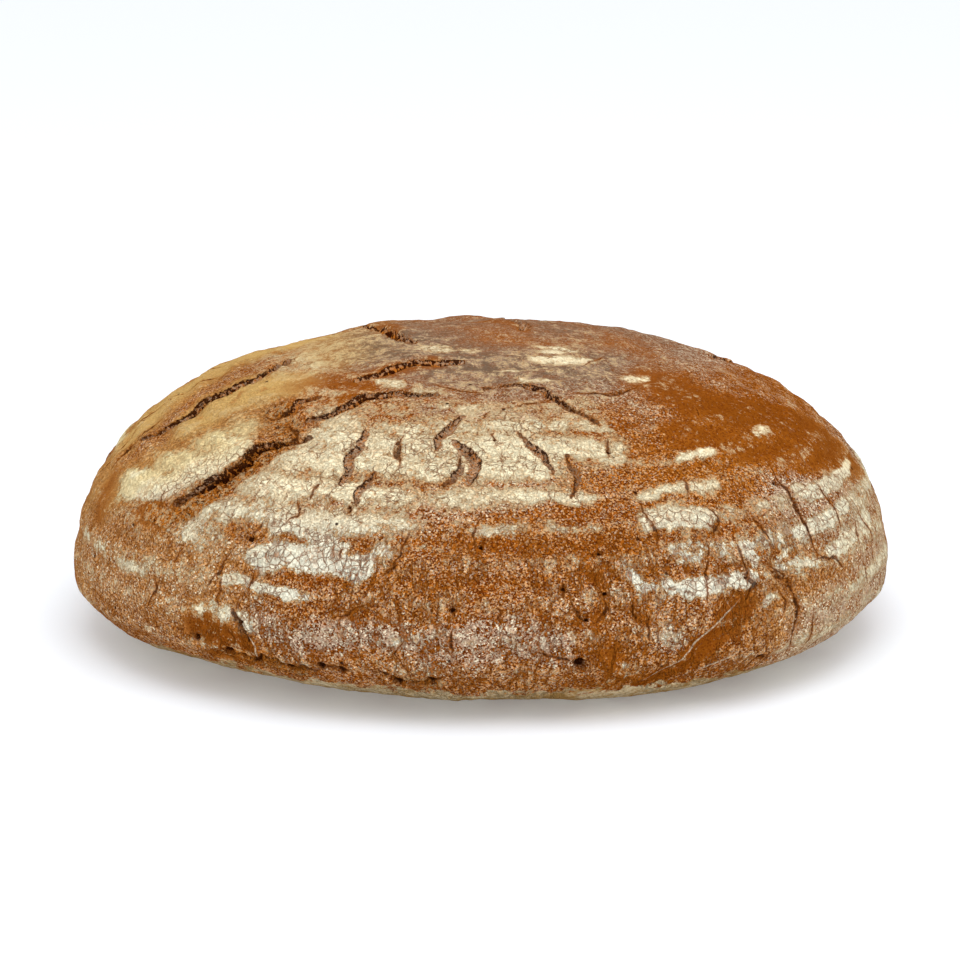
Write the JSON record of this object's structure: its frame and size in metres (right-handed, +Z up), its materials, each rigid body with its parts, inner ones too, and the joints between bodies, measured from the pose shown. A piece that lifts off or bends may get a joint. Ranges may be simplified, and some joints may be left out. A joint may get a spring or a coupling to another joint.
{
  "type": "rye bread loaf",
  "caption": "Large round hearth loaf of floured rye bread with a flat underside, shallow basket coils and a cracked, blistered crust.",
  "frame": {"origin": "on the flat underside, below the crown, at the middle of the loaf's length and depth", "axes": "+X along the loaf's length, -Y out of its front, +Z up through the crown"},
  "size_m": [0.2789, 0.2548, 0.101],
  "materials": {
    "crust": "baked rye crust, matt, dusted with flour"
  },
  "bodies": {
    "root": {"loaf": "crust"}
  },
  "joints": []
}
